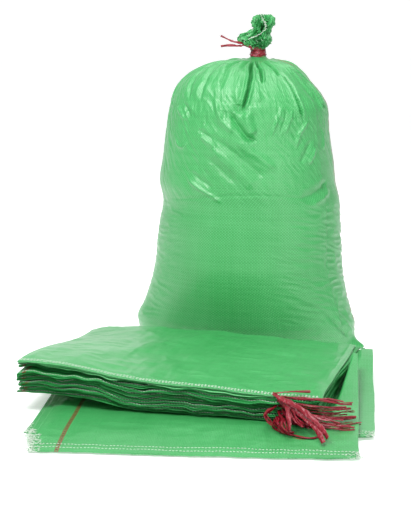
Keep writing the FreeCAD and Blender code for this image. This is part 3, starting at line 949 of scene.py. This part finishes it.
# Height, half width, half depth and lean of the sack's sections from base to neck, in tenths of a mm
SECTIONS = np.array([
    (16, 2520, 1200, -60), (60, 2590, 1280, -70), (200, 2600, 1340, -100), (520, 2640, 1440, -130),
    (1010, 2455, 1550, -95), (1500, 2300, 1650, -85), (1980, 2195, 1710, -85), (2460, 2160, 1730, -65),
    (2940, 2130, 1760, -25), (3410, 2085, 1760, 5), (3880, 2065, 1760, -85), (4350, 2020, 1740, -80),
    (5060, 1935, 1690, -115), (5760, 1780, 1580, -100), (6215, 1465, 1350, -155),
    (6445, 1200, 1100, -115), (6600, 830, 770, -40), (6675, 480, 450, 60), (6710, 270, 260, 120),
    (6750, 190, 185, 150), (6820, 160, 158, 150), (6900, 145, 143, 150), (6980, 138, 135, 150),
]) / 10000

# Folds of the cloth: height (a groove is negative) and half width in tenths of a mm, and where it runs,
# as bearings in degrees to the right of the front and mm down the cloth from the neck's top
FOLDS = [
    (-140, 27, [(-3, 45), (0, 80), (4, 140), (2, 175), (-3, 210), (-7, 240)]),
    (-100, 22, [(2, 40), (5, 60), (15, 108), (15.5, 140), (15, 164)]),
    (-80, 26, [(20, 50), (29, 80), (33, 114), (35, 146)]),
    (-90, 30, [(38, 120), (41, 150), (42, 172), (40, 205), (40, 235), (42, 262)]),
    (-160, 34, [(50, 60), (60, 105), (66, 145), (69, 168), (68, 196), (68, 226), (80, 255)]),
    (60, 60, [(43, 75), (53, 115), (59, 150), (61, 185), (60, 215)]),
    (-60, 26, [(32, 45), (44, 75), (52, 100)]), (-60, 26, [(-52, 45), (-66, 85), (-74, 115)]),
    (-50, 26, [(-28, 45), (-42, 75), (-50, 100)]),
    (-45, 60, [(-72, 70), (-67, 125), (-58, 165), (-55, 215)]),
    (-50, 50, [(-60, 60), (-52, 100), (-42, 160), (-43, 220)]),
    (-40, 40, [(-36, 50), (-33, 85), (-24, 145), (-24, 190)]),
    (-30, 30, [(-18, 45), (-14, 80), (-11, 115)]), (-60, 110, [(-8, 215), (-9, 240)]),
    (40, 75, [(-10, 95), (-8, 160), (-10, 225)]), (35, 70, [(9, 110), (9, 175), (9, 215)]),
    (32, 70, [(-43, 80), (-29, 135), (-31, 170)]), (110, 100, [(-3, 232), (0, 262), (4, 288)]),
    (-75, 50, [(-17, 228), (-9, 264), (-1, 292), (7, 300)]),
    (60, 65, [(-29, 200), (-26, 230), (-22, 254), (-15, 272), (-10, 282)]),
    (35, 45, [(-39, 288), (-33, 302), (-26, 316)]), (-30, 50, [(-42, 276), (-34, 288), (-26, 300)]),
    (40, 50, [(-68, 228), (-61, 244), (-54, 260)]), (-30, 45, [(-62, 216), (-54, 236), (-49, 252)]),
    (30, 40, [(-64, 302), (-59, 318), (-54, 320), (-50, 308)]),
    (40, 50, [(-50, 388), (-40, 408), (-28, 428), (-22, 440)]),
    (-30, 55, [(-48, 372), (-38, 390), (-27, 408)]),
    (-50, 100, [(-26, 294), (-12, 326), (2, 360), (12, 385)]),
    (45, 95, [(-34, 306), (-18, 342), (-5, 380), (6, 412)]), (40, 95, [(-12, 296), (6, 332), (20, 366)]),
    (-30, 70, [(-34, 338), (-22, 366), (-10, 396)]),
    (50, 45, [(46, 256), (42, 270), (38, 286), (35, 318)]), (42, 42, [(52, 316), (48, 336), (43, 356)]),
    (-35, 50, [(48, 300), (42, 330), (37, 352)]), (25, 35, [(22, 235), (20, 262), (17, 290)]),
    (25, 35, [(26, 220), (23, 245), (19, 272)]), (28, 36, [(34, 228), (31, 255), (27, 285)]),
    (-22, 30, [(29, 225), (27, 255), (23, 285)]), (30, 50, [(62, 270), (64, 300), (62, 330)]),
    (-45, 80, [(64, 398), (54, 414), (44, 426), (34, 430)]), (30, 70, [(66, 420), (54, 434), (42, 446)]),
    (-9, 30, [(-84, 449), (-50, 436), (-20, 425), (4, 421), (30, 427), (66, 451)]),
    (30, 60, [(58, 690), (66, 730), (74, 772)]), (-40, 50, [(52, 700), (60, 742), (70, 778)]),
]
REAR_PLEATS = 15


def sack_section(t):
    """Height, half width, half depth and lean along the wall, with t from 0 at the base to 1 at the neck."""
    at = running(np.hypot(np.diff(SECTIONS[:, 0]), np.diff(SECTIONS[:, 1])))
    where = t * at[-1]
    return [curve_through(where, list(zip(at, SECTIONS[:, i]))) for i in range(4)], at[-1]


def rear_folds():
    """Pleats that run down from the tie at the sides and the rear."""
    rng = np.random.default_rng(77)
    folds = []
    for i in range(REAR_PLEATS):
        bearing = 88 + 184 * i / (REAR_PLEATS - 1) + rng.uniform(-4, 4)
        drift = rng.uniform(-7, 7)
        reach = rng.uniform(0.09, 0.20)
        depth = rng.uniform(0.004, 0.010)
        route = [(bearing, 0.045), (bearing + drift * 0.5, 0.05 + reach / 2),
                 (bearing + drift, 0.06 + reach)]
        folds.append((-depth, rng.uniform(0.0025, 0.005), route))
    return folds


def fold_relief(bearing, below, radius):
    """Height of the folds over the smooth sack. A fold fades at both ends, and a groove has raised lips."""
    relief = np.zeros(bearing.shape)
    front_folds = [(h / 10000, w / 10000, np.array(route) / (1, 1000)) for h, w, route in FOLDS]
    for height, width, route in front_folds + rear_folds():
        stations = np.array(route, float)
        reach = 5.0 * width + 0.004
        near = (below > stations[:, 1].min() - reach) & (below < stations[:, 1].max() + reach)
        middle = stations[:, 0].mean()
        off_all = (bearing - middle + 180.0) % 360.0 - 180.0
        near &= np.abs(off_all) < 75.0
        if not near.any():
            continue
        off, down, r = off_all[near], below[near], radius[near]
        nearest = np.full(off.shape, np.inf)
        along = np.zeros(off.shape)
        pieces = len(stations) - 1
        for k in range(pieces):
            a, b = stations[k], stations[k + 1]
            scale = r * math.pi / 180.0
            ax, ay = (off - (a[0] - middle)) * scale, down - a[1]
            bx, by = (b[0] - a[0]) * scale, np.full(r.shape, b[1] - a[1])
            t = np.clip((ax * bx + ay * by) / (bx * bx + by * by), 0.0, 1.0)
            distance = np.hypot(ax - t * bx, ay - t * by)
            closer = distance < nearest
            nearest = np.where(closer, distance, nearest)
            along = np.where(closer, (k + t) / pieces, along)
        fade = smoothstep(0.0, 0.22, along) * smoothstep(1.0, 0.80, along)
        spread = width * (0.55 + 0.45 * fade)
        if height < 0:
            lips = np.exp(-((nearest - 2.3 * spread) / (1.5 * spread)) ** 2)
            shape = np.exp(-(nearest / spread) ** 1.5) - 0.38 * lips
        else:
            shape = np.exp(-(nearest / spread) ** 2)
        relief[near] += height * fade * shape
    return relief


def ear(angle, height):
    """The bottom corners stand out as flattened ears."""
    return 0.027 * np.abs(np.cos(angle)) ** 110 * np.exp(-(height / 0.020) ** 2)


def wrinkles(angle, height, below):
    """Fine relief all over: slanting wrinkles above, level ones low on the sides, and soft large swells."""
    arc = angle * 0.195
    slanted = creases(7, 0.03, 0.11, 16, (0.55, 1.6))
    cross = creases(17, 0.02, 0.06, 14, (0.6, 1.4))
    level = creases(8, 0.012, 0.05, 16, (3.6, 1.0))
    large = ripples(9, 0.15, 0.4, 10)
    upper = smoothstep(0.28, 0.46, height) * smoothstep(0.06, 0.14, below)
    crown = smoothstep(0.42, 0.56, height) * smoothstep(0.06, 0.14, below)
    u, v = arc + 0.75 * height, height - 0.75 * arc
    outward = 0.0007 * upper * slanted(u, v) + 0.0005 * crown * cross(arc, height)
    outward = outward + 0.0025 * large(arc, height) * smoothstep(0.02, 0.12, below)
    side = smoothstep(0.35, 0.95, np.cos(angle)) + 0.5 * smoothstep(0.35, 0.95, -np.cos(angle))
    low = smoothstep(0.01, 0.06, height) * (1.0 - smoothstep(0.30, 0.42, height))
    return outward + low * (0.0010 * side + 0.00008) * level(arc, height + 0.03 * np.sin(6 * arc))


def sack_point(angle, t):
    (height, half_width, half_depth, lean), wall = sack_section(t)
    below = (1.0 - t) * wall
    x = half_width * np.cos(angle)
    y = half_depth * np.sin(angle)
    c, s = cos_sin(FILLED_YAW)
    bearing = (np.degrees(np.arctan2(s * x + c * y, c * x - s * y)) + 270.0) % 360.0 - 180.0
    outward = wrinkles(angle, height, below) + fold_relief(bearing, below, np.hypot(x, y))
    outward = outward * smoothstep(0.004, 0.05, below)
    nx, ny = np.cos(angle) / half_width, np.sin(angle) / half_depth
    norm = np.hypot(nx, ny)
    up = smoothstep(0.22, 0.10, below)
    out = ear(angle, height)
    x = x + outward * nx / norm * (1.0 - 0.7 * up) + out * np.sign(np.cos(angle))
    y = y + outward * ny / norm * (1.0 - 0.7 * up)
    z = np.maximum(height + outward * up * 0.9, 0.0016)
    return np.stack([c * x - s * y + lean, s * x + c * y, z], -1)


def closer_in_front(count, share):
    """Angles all the way round, spaced more closely towards the front."""
    turn = np.arange(count) * math.tau / count
    front = math.radians(-90.0 - FILLED_YAW)
    return turn - share * np.sin(turn - front)


def filled_sack():
    around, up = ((820, 470))
    angle = closer_in_front(around, 0.40)
    t = np.linspace(0.0, 1.0, up) ** 0.82
    aa, tt = np.meshgrid(angle, t)
    points = sack_point(aa, tt)
    base = np.array([[-0.014, 0.0, 0.0016]])
    points = np.concatenate([points.reshape(-1, 3), base])
    quads = grid_faces(up, around, wrap=True)
    faces = [tuple(f) for f in quads] + [(up * around, (i + 1) % around, i) for i in range(around)]
    piece = mesh_object("filled_sack_cloth", points, faces, None, GREEN_FILLED)
    wall = sack_section(np.array([1.0]))[1]
    u = np.concatenate([(aa / math.tau * 2 * SACK_WIDTH).ravel(), [0.0]])
    v = np.concatenate([(tt * wall).ravel(), [-0.1]])
    corner = np.zeros(len(piece.data.loops), int)
    piece.data.loops.foreach_get("vertex_index", corner)
    uv = np.stack([u[corner], v[corner]], -1)
    uv[:4 * len(quads)] = unwrapped(uv[:4 * len(quads)])
    piece.data.uv_layers.new(name="UVMap").data.foreach_set("uv", uv.astype(np.float32).ravel())
    settle(piece, "filled_sack", "sack_cloth")


def contents():
    """The loose fill, just inside the cloth."""
    around, up = 96, 60
    aa, tt = np.meshgrid(np.arange(around) * math.tau / around, np.linspace(0.0, 0.90, up))
    outside = sack_point(aa, tt)
    middle = np.array([0.0, 0.0, 0.33])
    lumps = ripples(21, 0.03, 0.09, 16)
    inside = middle + (outside - middle) * 0.89
    inside += 0.006 * lumps(aa * 0.2, tt * 0.8)[..., None] * (outside - middle)
    points = np.concatenate([inside.reshape(-1, 3), inside[0].mean(0)[None], inside[-1].mean(0)[None]])
    faces = [tuple(f) for f in grid_faces(up, around, wrap=True)]
    low, high = up * around, up * around + 1
    faces += [(low, (i + 1) % around, i) for i in range(around)]
    faces += [(high, (up - 1) * around + i, (up - 1) * around + (i + 1) % around) for i in range(around)]
    piece = mesh_object("filled_sack_contents", points, faces, None, FILL)
    settle(piece, "filled_sack", "sack_contents")


def bottom_seam():
    """The sewn fold across the base, which ends in the two ears, and its stitches underneath."""
    half_length, half_width, thick = 0.276, 0.012, 0.0011
    along = np.linspace(-half_length, half_length, 160)
    taper = np.clip((half_length - np.abs(along)) / 0.040, 0.12, 1.0)
    side = np.linspace(-1.0, 1.0, 7)
    c, s = cos_sin(FILLED_YAW)

    def place(x, y, z):
        return grid_of(c * x - s * y, s * x + c * y, z)

    pucker = ripples(91, 0.01, 0.05, 10)
    x = np.broadcast_to(along[:, None], (len(along), len(side)))
    y = side[None, :] * half_width * taper[:, None]
    top = place(x, y, 0.0003 + thick + 0.0001 * pucker(x, y))
    under = place(x, y, np.full(x.shape, 0.0003))
    ring = np.concatenate([top, under[:, ::-1]], 1)
    quads = grid_faces(len(along), ring.shape[1], wrap=True)
    last = (len(along) - 1) * ring.shape[1]
    caps = np.array([[k, k + 1, 12 - k, 13 - k] for k in range(6)])
    faces = np.concatenate([quads, caps, caps[:, ::-1] + last])
    uv_at = np.stack([np.concatenate([y, y[:, ::-1]], 1).ravel() + 0.2,
                      np.concatenate([x, x], 1).ravel()], -1)
    piece = mesh_object("bottom_seam_fold", ring.reshape(-1, 3), faces, uv_at[faces.reshape(-1)], GREEN)
    settle(piece, "filled_sack", "bottom_seam")
    parts = []
    for row in (-0.004, 0.004):
        for start in np.arange(-0.232, 0.230, 0.0062):
            run = np.linspace(start, start + 0.0050, 5)
            parts.append(thin_tube(place(run, np.full(5, row), np.full(5, 0.0005)), 0.0005, 5))
    piece_of(parts, "bottom_seam_stitches", THREAD, "filled_sack", "bottom_seam_thread")


# ---------------------------------------------------------------- the neck: tie, knot and gathered mouth

FRILL_PLEATS = 28
FRILL_LENGTH = 0.088
FRILL_LINE = [(0.0, 0.0150, 0.000, 0.690), (0.25, 0.0150, 0.000, 0.709), (0.50, 0.0150, 0.001, 0.728),
              (0.75, 0.0255, 0.002, 0.749), (1.0, 0.0260, 0.002, 0.769)]
FRILL_RADIUS = [(0.0, 0.0140), (0.10, 0.0180), (0.22, 0.0270), (0.38, 0.0310), (0.52, 0.0265),
                (0.66, 0.0240), (0.84, 0.0265), (0.95, 0.0225), (1.0, 0.0150)]


def frill_point(angle, s):
    """The gathered mouth above the tie: deep crumpled pleats, a lobe to the left, and an open end."""
    rise = np.minimum(s, 1.0)
    inside = np.maximum(s - 1.0, 0.0)
    centre = [curve_through(rise, [(k[0], k[i]) for k in FRILL_LINE]) for i in (1, 2, 3)]
    radius = curve_through(rise, FRILL_RADIUS)
    left = np.exp(-((angle - math.pi) / 1.00) ** 2)
    radius = radius + 0.0145 * left * np.exp(-((rise - 0.36) / 0.19) ** 4)
    radius = radius - 0.0050 * left * np.exp(-((rise - 0.68) / 0.07) ** 2)
    shift = ripples(61, 0.6, 2.5, 10)
    bend = ripples(62, 0.4, 1.4, 10)
    sway = shift(3.0 * np.cos(angle), 3.0 * np.sin(angle) + 4.0 * s)
    phase = FRILL_PLEATS * angle + 2.2 * sway + 2.0 * bend(s * 5, 1)
    fold = np.abs(np.sin(phase / 2)) ** 0.5
    depth = 0.60 + 0.29 * smoothstep(0.0, 0.22, s)
    arc = angle * 0.028
    crumple = creases(63, 0.010, 0.030, 18)
    kink = creases(64, 0.004, 0.012, 18)
    rough = smoothstep(0.02, 0.15, s)
    r = radius * (1.0 - depth * (1.0 - fold))
    r = r + rough * (0.0050 * crumple(arc, centre[2]) + 0.0012 * kink(arc + 0.2, centre[2]))
    r = np.maximum(r * (1.0 - 0.75 * inside / 0.12), 0.0015)
    z = centre[2] + rough * (0.0036 * crumple(arc + 0.5, centre[2]) + 0.0008 * kink(arc, centre[2] + 0.3))
    z = z - 0.10 * inside + 0.0040 * (1 - inside / 0.12) * smoothstep(0.9, 1.0, s) * (fold - 0.5)
    return np.stack([centre[0] + r * np.cos(angle), centre[1] + 0.92 * r * np.sin(angle), z], -1)


def frill():
    around, up = 896, 110
    angle = np.arange(around) * math.tau / around
    rows = np.linspace(0.0, 1.12, up)
    aa, ss = np.meshgrid(angle, rows)
    points = frill_point(aa, ss)
    faces = grid_faces(up, around, wrap=True)
    turn = np.arange(around) * 2 * SACK_WIDTH / around
    u = np.broadcast_to(turn[None, :], aa.shape)
    uvs = unwrapped(np.stack([u.ravel(), (ss * FRILL_LENGTH).ravel()], -1)[faces.reshape(-1)])
    piece = mesh_object("mouth_frill_cloth", points.reshape(-1, 3), faces, uvs, GREEN)
    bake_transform(piece)
    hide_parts("mouth_frill")
    return points.reshape(-1, 3)


# The mouth's hem wanders down the front of the crumpled cloth: (right, height)
HEM_ROUTE = [(0.019, 0.7750), (0.022, 0.7650), (0.030, 0.7520), (0.031, 0.7390), (0.019, 0.7300),
             (0.009, 0.7245), (-0.0024, 0.7200), (-0.0095, 0.7160)]


def frill_threads(cloth):
    """Chain stitches of the mouth's hem, and a few loose ends, lying on the crumpled cloth."""
    rng = np.random.default_rng(5)
    route, _ = even_spacing(np.array([(x, 0.0, z) for x, z in HEM_ROUTE]), 46)
    stations = []
    for x, _, z in route:
        near = np.hypot(cloth[:, 0] - x, cloth[:, 2] - z) < 0.0026
        y = cloth[near, 1].min() if near.any() else -0.02
        stations.append((x, y - 0.0006, z))
    stations = np.array(stations)
    parts = []
    for k in range(len(stations) - 1):
        across = rng.uniform(0.0008, 0.0040) * (1 if k % 2 else -1)
        a = stations[k] + (across, 0.0, 0.3 * across)
        b = stations[k + 1] - (across, 0.0, rng.uniform(-0.6, 0.9) * across)
        bow = np.sin(np.linspace(0, math.pi, 5))[:, None] * np.array([[0.0, -0.0012, 0.0]])
        parts.append(thin_tube(a + (b - a) * np.linspace(0, 1, 5)[:, None] + bow, 0.0005, 5))
    front = cloth[cloth[:, 1] < -0.004]
    for k in range(46):
        start = front[rng.integers(len(front))]
        away = rng.normal(0, 1, 3) * (1.0, 0.3, 1.0)
        away *= rng.uniform(0.003, 0.008) / np.linalg.norm(away)
        steps = np.linspace(0, 1, 6)[:, None]
        bow = np.sin(steps * math.pi) * np.array([[0.0, -0.0016, 0.0]])
        parts.append(thin_tube(start + (0, -0.0008, 0) + away * steps + bow, 0.00035, 4))
    piece_of(parts, "mouth_hem_stitches", THREAD, "mouth_frill", "mouth_hem_thread")


# Height, tilt, radius and starting angle of each turn of raffia round the neck
NECK_TURNS = [(0.6760, -0.14, 0.0150, 0.3), (0.6815, -0.10, 0.0156, 2.1), (0.6870, -0.16, 0.0158, 4.0),
              (0.6915, -0.12, 0.0150, 5.0), (0.6835, 0.10, 0.0168, 1.0), (0.6790, -0.24, 0.0164, 3.0)]


def neck_wraps():
    """The raffia wound round the neck, a few crumpled turns that cross each other."""
    parts = []
    for k, (low, tilt, radius, phase) in enumerate(NECK_TURNS):
        a = np.linspace(0.0, math.tau * 1.02, 90) + phase
        wobble = 1.0 + 0.03 * np.sin(3 * a + k) + 0.02 * np.sin(7 * a)
        x = radius * wobble * np.cos(a)
        y = radius * wobble * np.sin(a)
        z = low + tilt * x + 0.0016 * np.sin(2 * a + 2 * k) + 0.0012 * (a - phase) / math.tau
        line = np.stack([x + NECK.x, y + NECK.y, z], -1)
        parts.append(strand(line, 0.0088, 900 + 3 * k, 90.0, 20.0, 0.0006))
    piece_of(parts, "neck_tie_wraps", RED, "filled_sack", "neck_tie_turns")


def neck_knot():
    """The strand that climbs from the turns, and the small overhand knot it ends in."""
    parts = []
    for k, offset in enumerate((0.0, 0.0022)):
        route = [(0.010, -0.0150, 0.6900 + offset), (0.001, -0.0175, 0.6955),
                 (-0.008, -0.0185, 0.7000 + offset), KNOT]
        line, _ = even_spacing(points_along(route_spline("knot_strand", route)), 40)
        parts.append(strand(line, 0.0048, 930 + k, 60.0 + 30 * k, 40.0, 0.0006))
    a = np.linspace(0.0, math.tau, 90)
    loop = np.stack([np.sin(a) + 2 * np.sin(2 * a), 0.9 * (np.cos(a) - 2 * np.cos(2 * a)),
                     -1.2 * np.sin(3 * a)], -1)
    line = loop * 0.00120 + np.array(KNOT[:])
    parts.append(strand(line, 0.0034, 940, 0.0, 180.0, 0.0007))
    piece_of(parts, "neck_tie_knot_raffia", RED, "filled_sack", "neck_tie_knot")


camera()
studio()
bundle_ties()
neck_tails()
bundle()
lower_pile()
filled_sack()
contents()
bottom_seam()
frill_threads(frill())
neck_wraps()
neck_knot()
